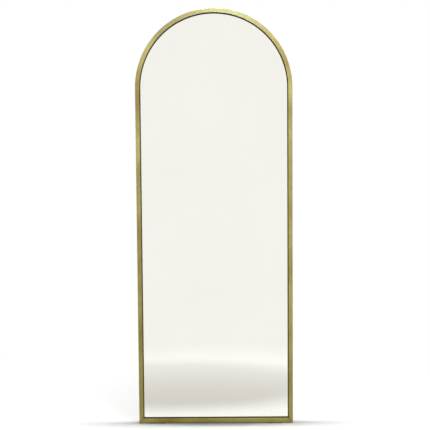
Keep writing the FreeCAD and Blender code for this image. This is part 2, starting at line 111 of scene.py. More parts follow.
# %% Join rings of points into a closed skin
def skin(rings, edge=0.0, loop=False):
    """Four-sided faces between neighbouring points of neighbouring rings; a many-sided face closes the
    first and the last ring unless the path is a loop. Faces are turned round if the volume that they
    enclose, a sum of triple products, comes out negative."""
    count, size, _ = rings.shape
    row = np.arange(count if loop else count - 1)[:, None]
    column = np.arange(size)[None, :]
    next_row, next_column = (row + 1) % count, (column + 1) % size
    near = [row * size + column, row * size + next_column]
    far = [next_row * size + next_column, next_row * size + column]
    quads = np.stack(near + far, -1).reshape(-1, 4)
    points = rings.reshape(-1, 3)
    a, b, c, d = (points[quads[:, i]] for i in range(4))
    volume = (np.cross(a, b) * c).sum() + (np.cross(a, c) * d).sum()
    ends = [] if loop else [np.arange(size)[::-1], (count - 1) * size + np.arange(size)]
    for end in ends:
        first, fan = points[end[0]], points[end[1:]]
        volume += (np.cross(fan[:-1], fan[1:]) @ first).sum()
    middle = rings[count // 2]
    around = np.linalg.norm(np.roll(middle, -1, 0) - middle, axis=1)
    around = np.concatenate([[0.0], np.cumsum(around)])
    steps = np.linalg.norm(np.roll(rings, -1, 0) - rings, axis=2).mean(1)
    along = np.concatenate([[0.0], np.cumsum(steps)])
    here = np.stack(np.broadcast_arrays(around[column], along[row]), -1)
    right = np.stack(np.broadcast_arrays(around[column + 1], along[row]), -1)
    corner = np.stack(np.broadcast_arrays(around[column + 1], along[row + 1]), -1)
    up = np.stack(np.broadcast_arrays(around[column], along[row + 1]), -1)
    uv = np.stack([here, right, corner, up], 2).reshape(-1, 4, 2)
    if volume < 0:
        quads, uv, ends = quads[:, ::-1], uv[:, ::-1], [end[::-1] for end in ends]
    return {
        "points": points,
        "faces": quads.tolist() + [end.tolist() for end in ends],
        "uv": np.concatenate([uv.reshape(-1, 2)] + [points[end][:, ::2] for end in ends]),
        "edge": np.broadcast_to(edge, (count, size)).reshape(-1),
        "ends": len(ends),
    }


# %% Put skins into the scene as one named piece
def make_piece(name, skins, finishes, nodes, body="mirror", sharp=35, end_finish=()):
    """All skins in one mesh at the origin. Corners sharper than sharp degrees stay crisp, and so do the
    flat faces that close the first and last ring. end_finish numbers these faces' finishes."""
    starts = np.cumsum([0] + [len(part["points"]) for part in skins])
    faces = [[int(start) + i for i in face] for part, start in zip(skins, starts) for face in part["faces"]]
    mesh = bpy.data.meshes.new(name)
    mesh.from_pydata(np.concatenate([part["points"] for part in skins]).tolist(), [], faces)
    uv = mesh.uv_layers.new(name="along")
    uv.uv.foreach_set("vector", np.concatenate([part["uv"] for part in skins]).astype(np.float32).ravel())
    edge = mesh.attributes.new("edge", "FLOAT", "POINT")
    edge.data.foreach_set("value", np.concatenate([part["edge"] for part in skins]).astype(np.float32))
    for finish in finishes:
        mesh.materials.append(finish)
    if end_finish:
        number = np.concatenate(
            [np.r_[np.zeros(len(part["faces"]) - part["ends"]), list(end_finish)] for part in skins]
        )
        mesh.polygons.foreach_set("material_index", number.astype(np.int32))
    mesh.set_sharp_from_angle(angle=math.radians(sharp))
    smooth = [np.arange(len(part["faces"])) < len(part["faces"]) - part["ends"] for part in skins]
    mesh.polygons.foreach_set("use_smooth", np.concatenate(smooth))
    mesh.update()
    piece = bpy.data.objects.new(name, mesh)
    bpy.context.scene.collection.objects.link(piece)
    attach(piece, body)
    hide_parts(*nodes)
    print(f"{name}: {len(mesh.vertices)} points, {len(mesh.polygons)} faces")


# %% [markdown]
# ## Seats
# The frame's fixings repeat round it. They could be linked copies of one object, turned into place, but
# a finished piece has to sit at the origin with its place in its mesh. So a seat is a point on the outer
# side of the frame and an angle: 0 on the left stile, 0 to 180 over the head, 180 on the right stile and
# -90 on the rail. A piece is drawn once in seat axes (inward, depth, along) and copied to all its seats
# in one array.

# %% Seats round the frame
def on_stile(side, height):
    """side is -1 on the left and 1 on the right; height is above the bottom edge."""
    return (side * HALF_WIDTH, FRONT, BASE + height), 0 if side < 0 else 180


def on_arch(angle):
    """angle runs in degrees from the left end of the head over its crown: a circle's own formula."""
    turn = math.radians(angle)
    return (-HALF_WIDTH * math.cos(turn), FRONT, SPRING + HALF_WIDTH * math.sin(turn)), angle


def on_rail(across):
    """across is measured from the middle of the mirror."""
    return (across, FRONT, BASE), -90


def seated(points, seats, spins=0.0, pivot=0.0):
    """Copies of points at each seat. First each copy spins about the depth axis through pivot, then its
    inward axis (cos, 0, -sin) and its along axis (sin, 0, cos) of the seat's angle carry it."""
    points = np.asarray(points, float)
    origin = np.array([seat[0] for seat in seats])
    turn = np.radians([seat[1] for seat in seats])
    flat = np.zeros_like(turn)
    inward = np.stack([np.cos(turn), flat, -np.sin(turn)], -1)
    along = np.stack([np.sin(turn), flat, np.cos(turn)], -1)
    spin = np.broadcast_to(spins, turn.shape)[:, None]
    shape = (len(seats),) + (1,) * (points.ndim - 1) + (3,)
    spin = spin.reshape((len(seats),) + (1,) * (points.ndim - 1))
    across, depth, up = points[..., 0] - pivot, points[..., 1], points[..., 2]
    turned_across = across * np.cos(spin) + up * np.sin(spin) + pivot
    turned_up = up * np.cos(spin) - across * np.sin(spin)
    return (
        origin.reshape(shape)
        + turned_across[..., None] * inward.reshape(shape)
        + depth[..., None] * np.array([0.0, 1.0, 0.0])
        + turned_up[..., None] * along.reshape(shape)
    )


CLIP_HEIGHTS = (160 * MM, 695 * MM, 1230 * MM)  # up each stile, from the bottom edge
CLIP_ANGLES = (45, 90, 135)  # over the head
CLIP_ACROSS = 100 * MM  # on the rail, to each side of the middle
clip_seats = [on_stile(side, height) for side in (-1, 1) for height in CLIP_HEIGHTS]
clip_seats += [on_arch(angle) for angle in CLIP_ANGLES]
clip_seats += [on_rail(side * CLIP_ACROSS) for side in (-1, 1)]
print(len(clip_seats), "retainer plates")

# %% [markdown]
# ## Node helpers
# A finish is a small network of nodes. It could be drawn by hand in the shader editor, but then nobody
# could read here what it does. The first helper adds one node and either sets each socket or links it,
# so a network reads as a list of steps. An effect is a node group that several finishes share; it gives
# out only values that change over the surface.

# %% Add nodes, effects and finishes
def put(tree, kind, sockets=None, **settings):
    """One node: settings go on the node itself; sockets, by name or number, take a value or a link."""
    node = tree.nodes.new("ShaderNode" + kind)
    for key, value in settings.items():
        setattr(node, key, value)
    for key, value in (sockets or {}).items():
        if isinstance(value, bpy.types.NodeSocket):
            tree.links.new(value, node.inputs[key])
        else:
            node.inputs[key].default_value = value
    return node


def sums(tree, operation, *values):
    """One Math node on values or sockets."""
    return put(tree, "Math", dict(enumerate(values)), operation=operation).outputs[0]


def start_effect(name, takes, gives):
    """An empty effect with named inputs and outputs."""
    tree = bpy.data.node_groups.new(name, "ShaderNodeTree")
    for label, kind, value in takes:
        socket = tree.interface.new_socket(name=label, in_out="INPUT", socket_type="NodeSocket" + kind)
        socket.default_value = value
    for label, kind in gives:
        tree.interface.new_socket(name=label, in_out="OUTPUT", socket_type="NodeSocket" + kind)
    return tree, tree.nodes.new("NodeGroupInput").outputs, tree.nodes.new("NodeGroupOutput").inputs


def use(tree, effect, **sockets):
    """An effect placed in a finish; inputs go by name, with _ for a space."""
    node = put(tree, "Group", node_tree=effect)
    for key, value in sockets.items():
        socket = node.inputs[key.replace("_", " ")]
        if isinstance(value, bpy.types.NodeSocket):
            tree.links.new(value, socket)
        else:
            socket.default_value = value
    return node.outputs


def start_finish(name, **constants):
    """A finish with one Principled shader, whose constants are set on its own sockets. Also gives the
    object coordinates, which every finish's patterns read."""
    finish = bpy.data.materials.new(name)
    finish.use_nodes = True
    tree = finish.node_tree
    shader = tree.nodes["Principled BSDF"]
    for key, value in constants.items():
        shader.inputs[key.replace("_", " ")].default_value = value
    return finish, tree, shader, put(tree, "TexCoord").outputs["Object"]


def mix_colours(tree, share, first, second):
    """A colour between two others; each is a socket or (red, green, blue)."""
    node = put(tree, "Mix", {0: share}, data_type="RGBA")
    for socket, value in ((node.inputs[6], first), (node.inputs[7], second)):
        if isinstance(value, bpy.types.NodeSocket):
            tree.links.new(value, socket)
        else:
            socket.default_value = (*value, 1)
    return node.outputs[2]


def tint(tree, mask, share, first, second):
    """As mix_colours, with the mask scaled by share."""
    return mix_colours(tree, sums(tree, "MULTIPLY", mask, share), first, second)


def span(tree, value, take, give=(0.0, 1.0), **settings):
    """A value's range, take, carried to the range give; beyond its ends the result stays put."""
    ends = {"From Min": take[0], "From Max": take[1], "To Min": give[0], "To Max": give[1]}
    return put(tree, "MapRange", {"Value": value, **ends}, **settings).outputs[0]


def between(tree, value, low, high):
    """low where the value is 0 and high where it is 1."""
    return span(tree, value, (0.0, 1.0), (low, high))


def bump(tree, height, distance, strength):
    """A normal that tilts with the slope of height times distance, in metres."""
    return put(tree, "Bump", {"Height": height, "Distance": distance, "Strength": strength}).outputs[0]


def finish_surface(tree, shader, colour, roughness, normal):
    """Links what changes over the surface to the shader's own sockets."""
    tree.links.new(colour, shader.inputs["Base Color"])
    tree.links.new(roughness, shader.inputs["Roughness"])
    tree.links.new(normal, shader.inputs["Normal"])


# %% [markdown]
# ## Effects that finishes share
# *Brushed lines*: the abrasive belt leaves fine lines that are long one way and thin the other, so the
# effect stretches a noise. *Clouds*: a slow drift of tone, as where a coating lies thicker; on the gold
# its place is chosen so that it also paints light and shade. *Worn edges*: the rounded corners, broken
# up by a noise so that the wear isn't an even line. *Dust*: what settles on surfaces that face up, in
# specks.

# %% Brushed lines
lines_effect, given, wanted = start_effect(
    "brushed lines",
    [("Place", "Vector", (0, 0, 0)), ("Width", "Float", 0.0004), ("Length", "Float", 0.05)],
    [("Tone", "Float"), ("Height", "Float")],
)
across_lines = sums(lines_effect, "DIVIDE", 1.0, given["Width"])
along_lines = sums(lines_effect, "DIVIDE", 1.0, given["Length"])
stretch = put(lines_effect, "CombineXYZ", {0: across_lines, 1: along_lines, 2: across_lines}).outputs[0]
stretched = put(lines_effect, "VectorMath", {0: given["Place"], 1: stretch}, operation="MULTIPLY").outputs[0]
streaks = put(lines_effect, "TexNoise", {"Vector": stretched, "Scale": 1.0, "Detail": 4.0, "Roughness": 0.62})
lines_effect.links.new(span(lines_effect, streaks.outputs[0], (0.3, 0.7)), wanted["Tone"])
lines_effect.links.new(streaks.outputs[0], wanted["Height"])

# %% Clouds
clouds_effect, given, wanted = start_effect(
    "clouds", [("Place", "Vector", (0, 0, 0)), ("Size", "Float", 0.1)], [("Tone", "Float")]
)
shrink = sums(clouds_effect, "DIVIDE", 1.0, given["Size"])
drift = {"Vector": given["Place"], "Scale": shrink, "Detail": 3.0, "Roughness": 0.55}
cloud = put(clouds_effect, "TexNoise", drift).outputs[0]
clouds_effect.links.new(span(clouds_effect, cloud, (0.32, 0.68)), wanted["Tone"])

# %% Worn edges
wear_effect, given, wanted = start_effect(
    "worn edges",
    [
        ("Edge", "Float", 0.0),
        ("Place", "Vector", (0, 0, 0)),
        ("Size", "Float", 0.01),
        ("Amount", "Float", 0.5),
    ],
    [("Mask", "Float")],
)
shrink = sums(wear_effect, "DIVIDE", 1.0, given["Size"])
patches = put(wear_effect, "TexNoise", {"Vector": given["Place"], "Scale": shrink, "Detail": 5.0}).outputs[0]
rubbed = sums(wear_effect, "MULTIPLY", given["Edge"], span(wear_effect, patches, (0.42, 0.6)))
rubbed = sums(wear_effect, "MULTIPLY", rubbed, given["Amount"])
wear_effect.links.new(rubbed, wanted["Mask"])

# %% Dust
dust_effect, given, wanted = start_effect(
    "dust", [("Place", "Vector", (0, 0, 0)), ("Amount", "Float", 0.3)], [("Mask", "Float")]
)
facing = put(dust_effect, "SeparateXYZ", {0: put(dust_effect, "NewGeometry").outputs["Normal"]}).outputs[2]
settled = span(dust_effect, facing, (0.35, 1.0))
specks = put(dust_effect, "TexNoise", {"Vector": given["Place"], "Scale": 900.0, "Detail": 3.0}).outputs[0]
dusty = sums(dust_effect, "MULTIPLY", settled, span(dust_effect, specks, (0.4, 0.75)))
dust_effect.links.new(sums(dust_effect, "MULTIPLY", dusty, given["Amount"]), wanted["Mask"])
print("effects:", [group.name for group in bpy.data.node_groups])

# %% [markdown]
# ## Frame
# The frame is one aluminium extrusion: a tube behind the face, a rib that stands beside the glass and a
# slot in the rib's back for screws. Carrying the section along the path gives the true curve of the
# head, where a bevelled curve object would round the section the wrong way at the mitres. The first and
# last rings lie on the mitre: every point slides along the frame by as much as it lies inward, and the
# face dips there into the small V groove that shows as a dark line across each corner.

# %% Section of the extrusion
section, section_edge = rounded(
    [
        (0, 0),
        (FACE_WIDTH, 0),
        (FACE_WIDTH, REVEAL),
        (RIB, REVEAL),
        (RIB, FRAME_DEPTH),
        (SLOT_RIGHT, FRAME_DEPTH),
        (SLOT_RIGHT, SLOT_FLOOR),
        (SLOT_LEFT, SLOT_FLOOR),
        (SLOT_LEFT, FRAME_DEPTH),
        (0, FRAME_DEPTH),
    ],
    np.array([1.5, 0.8, 0.3, 0.3, 0.4, 0.3, 0.3, 0.3, 0.3, 0.5]) * MM,
)
steps_round = np.linalg.norm(np.roll(section, -1, 0) - section, axis=1)
round_to = np.concatenate([[0.0], np.cumsum(steps_round)])
PER_CORNER = len(section) // 10  # points that rounding makes of each of the ten corners
inner_start = round_to[PER_CORNER + 6]  # where the second corner's arc ends
inner_end = round_to[2 * PER_CORNER + 3]  # in the third corner's arc, beside the glass
print(len(section), "points round the section")
print(f"the inner wall lies from {inner_start:.4f} to {inner_end:.4f} m round it")


# %% [markdown]
# ## Brushed gold
# The frame is aluminium, brushed along its length and coated in a pale, slightly green gold under
# clear lacquer. A picture of brushed metal would stretch over the head; noise on the UV map bends with
# the frame. Brushing spreads a highlight across the lines, which anisotropy gives: the tangent is the
# UV map's first direction, round the section. The coating drifts in tone along the length, and the
# drift is placed so that its lighter and darker stretches also paint light and shade round the frame.
# Painted shade makes the gold browner and darker low down, and darker at the arrises, most where they
# face down. The lacquer is thin near the floor and full at the head, where it catches the light. The
# belt never reaches the inner wall beside the glass, which stays dull; painted shade darkens that wall
# where it faces down. The UV map says where on the section that wall is.

# %% Gold: where on the frame
gold, tree, shader, place = start_finish(
    "brushed gold", Metallic=1.0, Roughness=0.36, Anisotropic=0.7, Coat_Roughness=0.22, Coat_IOR=1.65
)
uv = put(tree, "UVMap", uv_map="along").outputs[0]
round_it = put(tree, "Tangent", direction_type="UV_MAP", uv_map="along").outputs[0]
tree.links.new(round_it, shader.inputs["Tangent"])
height = put(tree, "SeparateXYZ", {0: place}).outputs[2]
edge = put(tree, "Attribute", attribute_name="edge").outputs["Fac"]
arris = sums(tree, "MINIMUM", edge, 1.0)
groove = span(tree, edge, (1.0, 1.5))
round_section = put(tree, "SeparateXYZ", {0: uv}).outputs[0]
past_lip = span(tree, round_section, (inner_start, inner_start + 0.4 * MM))
before_web = span(tree, round_section, (inner_end + 1 * MM, inner_end))
inner = sums(tree, "MULTIPLY", past_lip, before_web)
facing = put(tree, "SeparateXYZ", {0: put(tree, "NewGeometry").outputs["Normal"]}).outputs[2]
# Painted shade for the inner wall: 1 where a surface faces down, 0 where it faces up.
painted_shade_facing_down = span(tree, facing, (-1.0, 1.0), (1.0, 0.0))
# Painted shade for the arrises: strongest where they face down or sideways.
painted_arris_shade = span(tree, facing, (0.0, 0.9), (0.8, 0.2))

# %% Gold: colour
fine = use(tree, lines_effect, Place=uv, Width=0.00035, Length=0.045)
broad = use(tree, lines_effect, Place=uv, Width=0.0016, Length=0.16)
# The drift is the coating's own tone, but its offset is placed so that it also paints light and shade round
# the frame.
drift_placed_for_light = put(tree, "Mapping", {"Vector": place, "Location": (16.6, 19.1, 5.3)}).outputs[0]
slow = use(tree, clouds_effect, Place=drift_placed_for_light, Size=0.17)["Tone"]
worn = use(tree, wear_effect, Edge=arris, Place=place, Size=0.012, Amount=0.5)["Mask"]
settled = use(tree, dust_effect, Place=place, Amount=0.16)["Mask"]
gold_tone_and_painted_shade = mix_colours(tree, slow, (0.190, 0.127, 0.010), (0.420, 0.390, 0.112))
gold_tone_and_painted_shade = tint(tree, fine["Tone"], 0.35, gold_tone_and_painted_shade, (0.22, 0.173, 0.026))
gold_tone_and_painted_shade = tint(tree, broad["Tone"], 0.25, gold_tone_and_painted_shade, (0.46, 0.42, 0.16))
# Painted shade: browner and darker towards the floor, below 0.45 m.
gold_tone_and_painted_shade = tint(tree, span(tree, height, (0.45, 0.0)), 0.4, gold_tone_and_painted_shade, (0.180, 0.118, 0.006))
# Painted shade at the arrises.
gold_tone_and_painted_shade = mix_colours(tree, sums(tree, "MULTIPLY", arris, painted_arris_shade), gold_tone_and_painted_shade, (0.13, 0.10, 0.022))
gold_tone_and_painted_shade = mix_colours(tree, worn, gold_tone_and_painted_shade, (0.62, 0.58, 0.33))
gold_tone_and_painted_shade = tint(tree, groove, 0.9, gold_tone_and_painted_shade, (0.05, 0.038, 0.012))
# Painted shade: the inner wall goes dark where it faces down.
gold_tone_and_painted_shade = mix_colours(tree, sums(tree, "MULTIPLY", inner, painted_shade_facing_down), gold_tone_and_painted_shade, (0.075, 0.056, 0.016))
gold_tone_and_painted_shade = mix_colours(tree, settled, gold_tone_and_painted_shade, (0.55, 0.53, 0.48))

# %% Gold: roughness, lacquer and relief
roughness = between(tree, fine["Tone"], 0.37, 0.50)
roughness = sums(tree, "ADD", roughness, sums(tree, "MULTIPLY", settled, 0.6))
roughness = sums(tree, "ADD", roughness, sums(tree, "MULTIPLY", inner, 0.25))
lacquer = span(tree, height, (0.0, 1.6), (0.3, 0.9))
lacquer = sums(tree, "ADD", lacquer, sums(tree, "MULTIPLY", slow, 0.1))
bare = sums(tree, "MAXIMUM", inner, sums(tree, "MULTIPLY", arris, 0.6))
lacquer = sums(tree, "MULTIPLY", lacquer, sums(tree, "SUBTRACT", 1.0, bare))
tree.links.new(lacquer, shader.inputs["Coat Weight"])
finish_surface(tree, shader, gold_tone_and_painted_shade, roughness, bump(tree, fine["Height"], 0.00004, 0.3))
print("finish:", gold.name)


# %% Carry the section along stations, with a mitre at each end
def mitred(first, last, stations, angles):
    """Three rings along the mitre at the first corner, one ring at each station (origin, angle of the
    seat) and three along the mitre at the last corner. On a mitre every point slides along the frame by
    its inward distance plus half the gap. The outermost ring has its face pressed down to the bottom
    of the groove, the next lies groove * sqrt 2 further on at full height, and the third ends the
    groove's dark edge."""
    origins = np.concatenate([[first] * 3, stations, [last] * 3])
    turn = np.radians(np.r_[[angles[0]] * 3, angles, [angles[-1]] * 3])
    flat = np.zeros_like(turn)
    inward = np.stack([np.cos(turn), flat, -np.sin(turn)], -1)[:, None]
    along = np.stack([np.sin(turn), flat, np.cos(turn)], -1)[:, None]
    across, depth = section[:, 0], np.tile(section[:, 1], (len(turn), 1))
    slide = np.zeros_like(depth)
    slide[:3] = across + MITRE_GAP + np.array([[0.0], [1.0], [2.2]]) * MITRE_GROOVE * math.sqrt(2)
    slide[-3:] = -slide[2::-1]
    depth[[0, -1]] = np.maximum(depth[[0, -1]], MITRE_GROOVE)
    rings = origins[:, None] + across[None, :, None] * inward + slide[..., None] * along
    rings[..., 1] += depth
    edge = np.tile(section_edge, (len(turn), 1))
    edge[[0, 1, -2, -1]] = 1.6  # the groove is darker than any arris
    return skin(rings, edge)


# %% Hoop and rail
corner_left, corner_right = (-HALF_WIDTH, FRONT, BASE), (HALF_WIDTH, FRONT, BASE)
PAST_MITRE = 30 * MM  # first ring up a stile, well past the inner end of the mitre
heights = BASE + np.r_[PAST_MITRE, 2 * PAST_MITRE, np.linspace(0.12, STRAIGHT - 2 * PAST_MITRE, 20)]
turns = np.radians(np.linspace(0, 180, 181))
up_left = np.stack([np.full_like(heights, -HALF_WIDTH), np.full_like(heights, FRONT), heights], -1)
over = [-HALF_WIDTH * np.cos(turns), np.full_like(turns, FRONT), SPRING + HALF_WIDTH * np.sin(turns)]
stations = np.concatenate([up_left, np.stack(over, -1), up_left[::-1] * (-1, 1, 1)])
angles = np.r_[heights * 0, np.degrees(turns), heights * 0 + 180]
hoop = mitred(corner_left, corner_right, stations, angles)
make_piece("gold_hoop", [hoop], [gold], ["frame_hoop"])

rail_end = HALF_WIDTH - 40 * MM  # last ring of the rail before its mitre
across_rail = np.linspace(rail_end, -rail_end, 12)
stations = np.stack([across_rail, np.full_like(across_rail, FRONT), np.full_like(across_rail, BASE)], -1)
rail = mitred(corner_right, corner_left, stations, across_rail * 0 - 90)
make_piece("gold_rail", [rail], [gold], ["bottom_rail"])

# %% [markdown]
# ## Silvered glass
# A mirror is clear glass with silver on its back. Light goes through the glass twice, so the pane is
# real glass here and only its back face carries the metal. Real silver gives back about nine tenths of
# the light, a touch warm.

# %% Glass and silver
glass, tree, shader, place = start_finish(
    "clear glass", Base_Color=(0.985, 0.995, 0.985, 1), Transmission_Weight=1.0, Roughness=0.0, IOR=1.5
)
smear = use(tree, clouds_effect, Place=place, Size=0.11)["Tone"]
tree.links.new(between(tree, smear, 0.0, 0.012), shader.inputs["Roughness"])

silver, tree, shader, place = start_finish("silver", Metallic=1.0, Roughness=0.0)
slow = use(tree, clouds_effect, Place=place, Size=0.35)["Tone"]
tone = mix_colours(tree, slow, (0.90, 0.885, 0.835), (0.92, 0.90, 0.855))
tree.links.new(tone, shader.inputs["Base Color"])
print("finishes:", glass.name, "and", silver.name)


# %% Outline of every arched sheet
def arch_outline(inset, corner=1.5 * MM, steps=128):
    """The frame's outline moved in by inset: up the left side, a half circle over the head, down the
    right side, and small arcs of the given radius at the two bottom corners."""
    half, low = HALF_WIDTH - inset, BASE + inset
    turn = np.linspace(0, math.pi, steps)
    head = np.stack([-half * np.cos(turn), SPRING + half * np.sin(turn)], -1)
    quarter = np.linspace(0, math.pi / 2, 7)
    right = np.stack([half - corner * (1 - np.cos(quarter)), low + corner * (1 - np.sin(quarter))], -1)
    left = right[::-1] * (-1, 1)
    return np.concatenate([head, right, left])


def eased(low, high, ease_low, ease_high, steps=4):
    """Inset and depth of each level of a plate with quarter-round edges, and edge values."""
    turn = np.linspace(0, math.pi / 2, steps)
    inset = np.r_[ease_low * (1 - np.sin(turn)), ease_high * (1 - np.cos(turn))]
    depth = np.r_[low + ease_low * (1 - np.cos(turn)), high - ease_high * (1 - np.sin(turn))]
    edge = np.r_[np.sin(2 * turn), np.sin(2 * turn)]
    return inset, depth, np.clip(edge, 0, 1)


def arched_sheet(inset, low, high, ease_low, ease_high):
    """The arch outline stacked from depth low to high, with eased edges."""
    insets, depths, edge = eased(low, high, ease_low, ease_high)
    outlines = [arch_outline(inset + value) for value in insets]
    rings = np.stack([np.insert(line, 1, FRONT + depth, axis=1) for line, depth in zip(outlines, depths)])
    return skin(rings, edge[:, None])


# %% Pane
SILVER_GAP = 0.02 * MM  # keeps the silver clear of the film behind it
pane = arched_sheet(GLASS_INSET, GLASS_AT, GLASS_AT + GLASS_THICKNESS - SILVER_GAP, 0.4 * MM, 0.4 * MM)
make_piece("mirror_pane", [pane], [glass, silver], ["mirror_glass"], end_finish=(0, 1))

# %% [markdown]
# ## Backing board
# The back is a sheet of fibreboard, pale brown and felted, with darker sanded edges. It could be the CAD
# solid with a bevel modifier, but that solid is loose triangles. The arched sheet that makes the pane
# makes the board as well, only thicker and with a rounder back edge. A distorted noise gives the felt.

# %% Board finish and board
fibre, tree, shader, place = start_finish("fibreboard", Specular_IOR_Level=0.3)
edge = put(tree, "Attribute", attribute_name="edge").outputs["Fac"]
slow = use(tree, clouds_effect, Place=place, Size=0.14)["Tone"]
felting = {"Vector": place, "Scale": 420.0, "Detail": 6.0, "Roughness": 0.7, "Distortion": 1.6}
fibres = put(tree, "TexNoise", felting).outputs[0]
flecks = span(tree, fibres, (0.38, 0.66))
felt = mix_colours(tree, slow, (0.40, 0.27, 0.165), (0.47, 0.33, 0.21))
felt = tint(tree, flecks, 0.35, felt, (0.27, 0.165, 0.09))
felt = tint(tree, edge, 0.5, felt, (0.22, 0.13, 0.07))
settled = use(tree, dust_effect, Place=place, Amount=0.3)["Mask"]
felt = mix_colours(tree, settled, felt, (0.6, 0.57, 0.52))
finish_surface(tree, shader, felt, between(tree, flecks, 0.62, 0.85), bump(tree, fibres, 0.0003, 0.4))
board = arched_sheet(BOARD_INSET, BOARD_AT, FRAME_DEPTH, 0.3 * MM, 1.0 * MM)
make_piece("back_board", [board], [fibre], ["backing_board"])

# %% [markdown]
# ## Zinc-plated steel
# Retainer plates, corner braces, straps and rings are stamped from sheet and zinc plated: a bluish
# grey metal with a fine crystalline bloom and rolled edges that catch the light. Screws have a warmer,
# brighter plate and the cast keys a duller one, so one function makes all three from their tones. The
# bloom is the random colour of Voronoi cells, which have the flat, straight-sided look of crystals.

# %% Zinc finishes
def zinc_finish(name, dark, light, roughness, grain):
    """Plated steel: bloom in patches, a fine rolled grain, brighter worn edges and some dust. Where the
    edge value is below 0, in a screw's recess, the colour goes dark."""
    finish, tree, shader, place = start_finish(name, Metallic=1.0)
    edge = put(tree, "Attribute", attribute_name="edge").outputs["Fac"]
    crystals = put(tree, "TexVoronoi", {"Vector": place, "Scale": 260.0, "Randomness": 1.0})
    bloom = put(tree, "SeparateColor", {0: crystals.outputs["Color"]}).outputs[0]
    slow = use(tree, clouds_effect, Place=place, Size=0.02)["Tone"]
    rolled = use(tree, lines_effect, Place=place, Width=0.0003, Length=grain)
    worn = use(tree, wear_effect, Edge=edge, Place=place, Size=0.004, Amount=0.7)["Mask"]
    settled = use(tree, dust_effect, Place=place, Amount=0.3)["Mask"]
    plated = tint(tree, bloom, 0.4, dark, light)
    plated = tint(tree, slow, 0.5, plated, light)
    plated = mix_colours(tree, worn, plated, (0.85, 0.86, 0.88))
    plated = mix_colours(tree, span(tree, edge, (0.0, -1.0), (0.0, 0.85)), plated, (0.06, 0.055, 0.05))
    plated = mix_colours(tree, settled, plated, (0.6, 0.58, 0.54))
    rough = between(tree, rolled["Tone"], *roughness)
    rough = sums(tree, "ADD", rough, sums(tree, "MULTIPLY", bloom, 0.06))
    finish_surface(tree, shader, plated, rough, bump(tree, rolled["Height"], 0.00003, 0.5))
    return finish


zinc = zinc_finish("zinc plate", (0.33, 0.345, 0.37), (0.55, 0.57, 0.60), (0.24, 0.36), 0.006)
screw_zinc = zinc_finish("zinc screws", (0.47, 0.45, 0.36), (0.68, 0.66, 0.58), (0.16, 0.28), 0.004)
cast_zinc = zinc_finish("cast zinc", (0.34, 0.35, 0.37), (0.48, 0.49, 0.51), (0.42, 0.58), 0.0006)
print("finishes:", zinc.name, screw_zinc.name, cast_zinc.name, sep=", ")


# %% Stack an outline through a plate's thickness
def inset_line(points, distance):
    """Moves each point of an outline square to the line through its neighbours, by distance."""
    sweep = np.roll(points, -1, 0) - np.roll(points, 1, 0)
    sweep /= np.linalg.norm(sweep, axis=1, keepdims=True)
    area = (points[:, 0] * np.roll(points[:, 1], -1) - np.roll(points[:, 0], -1) * points[:, 1]).sum()
    square = np.stack([-sweep[:, 1], sweep[:, 0]], -1) * np.sign(area)
    return points + square * distance


def stamped(corners, radii, low, high, ease=0.2 * MM):
    """Seat-axis rings (inward, depth, along) of a flat plate with rounded corners and eased edges."""
    line, line_edge = rounded(corners, radii, 5)
    insets, depths, level_edge = eased(low, high, ease, ease, 3)
    rings = np.stack([np.insert(inset_line(line, i), 1, depth, axis=1) for i, depth in zip(insets, depths)])
    return rings, np.maximum(level_edge[:, None], 0.4 * line_edge[None, :])


# %% [markdown]
# ## Retainer plates and corner braces
# Eleven T-shaped plates are screwed to the rib and press the board against the glass stack, and a flat L
# ties each corner. A stamped plate is its outline stacked through its thickness, with the stack's outer
# levels drawn in for the eased edges. A bevel modifier would do that too, but it would not mark which
# points lie on an edge, and the wear in the finish needs that.

# %% Retainer plates
PLATE_MARGIN = 0.5 * MM  # from the edges of the rib to a plate on it
PLATE_THICKNESS, BRACE_THICKNESS = 1.2 * MM, 1.5 * MM
plate_near, foot = PLATE_MARGIN, RIB - PLATE_MARGIN
plate_half, tongue_half, tip, cut = 13 * MM, 6 * MM, RIB + 13.5 * MM, 3 * MM
tee = [
    (plate_near, -plate_half), (foot, -plate_half), (foot, -tongue_half), (tip - cut, -tongue_half),
    (tip, cut - tongue_half), (tip, tongue_half - cut), (tip - cut, tongue_half), (foot, tongue_half),
    (foot, plate_half), (plate_near, plate_half),
]
tee_rings, tee_edge = stamped(tee, 0.8 * MM, FRAME_DEPTH, FRAME_DEPTH + PLATE_THICKNESS)
plates = [skin(rings, tee_edge) for rings in seated(tee_rings, clip_seats)]
make_piece("retainers", plates, [zinc], ["retainer_plates"])

# %% Corner braces
brace_low, brace_high, brace_leg, brace_cut = PLATE_MARGIN, RIB - PLATE_MARGIN, 56 * MM, 1.5 * MM
ell = [
    (brace_low, brace_low), (brace_leg - brace_cut, brace_low), (brace_leg, brace_low + brace_cut),
    (brace_leg, brace_high - brace_cut), (brace_leg - brace_cut, brace_high), (brace_high, brace_high),
    (brace_high, brace_leg - brace_cut), (brace_high - brace_cut, brace_leg),
    (brace_low + brace_cut, brace_leg), (brace_low, brace_leg - brace_cut),
]
ell_rings, ell_edge = stamped(ell, 0.6 * MM, FRAME_DEPTH, FRAME_DEPTH + BRACE_THICKNESS)
for side, hand in ((-1, "left"), (1, "right")):
    rings = ell_rings * (-side, 1, 1) + (side * HALF_WIDTH, FRONT, BASE)
    make_piece("brace_" + hand, [skin(rings, ell_edge)], [zinc], ["corner_brace_" + hand])

# %% [markdown]
# ## Screws
# A pan-head screw is a turned shape with two things that turning can't give: a cross recess in the head
# and a thread. Both are small changes to the turned grid. Where a point of the head lies inside the
# cross it is pushed down, and on the shank the radius rises and falls with a ramp that runs round.

